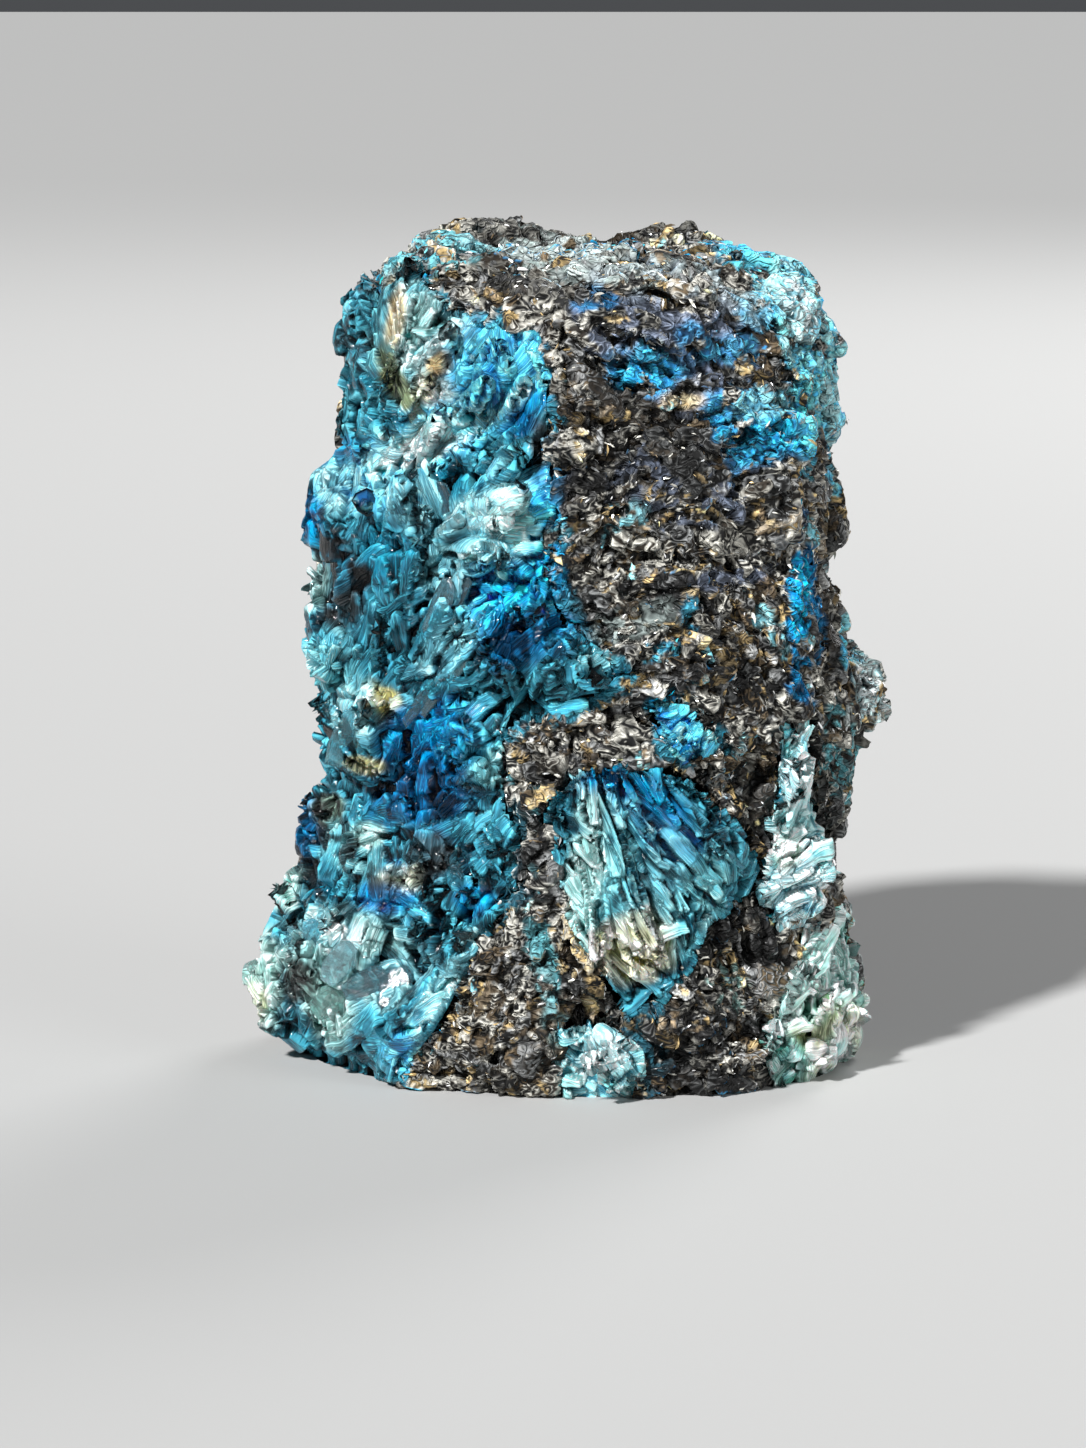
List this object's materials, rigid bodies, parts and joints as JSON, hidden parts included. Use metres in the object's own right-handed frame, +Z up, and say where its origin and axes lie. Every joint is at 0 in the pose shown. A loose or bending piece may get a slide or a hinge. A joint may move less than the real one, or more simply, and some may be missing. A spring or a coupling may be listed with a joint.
{
  "type": "blue selenite specimen",
  "caption": "Upright hand specimen of blue selenite: dark glittering rock with masses of bladed translucent blue crystal.",
  "frame": {"origin": "middle of the specimen's footprint, on the surface that it stands on", "axes": "+Z up along the specimen's height, -Y towards the viewer of the blue front face, +X to that viewer's right"},
  "size_m": [0.0618, 0.0468, 0.0808],
  "materials": {
    "dark_rock": "rough, with glittering flakes",
    "blue_selenite": "glossy, translucent",
    "teal_selenite": "silky, fibrous",
    "pale_selenite": "silky, translucent"
  },
  "bodies": {
    "root": {"matrix_rock": "dark_rock", "blue_crystal_vein": "blue_selenite", "crystal_fan": "teal_selenite", "blue_wedge": "blue_selenite", "seam_crystals": "pale_selenite", "corner_crystals": "pale_selenite", "base_crystals": "pale_selenite"}
  },
  "joints": []
}
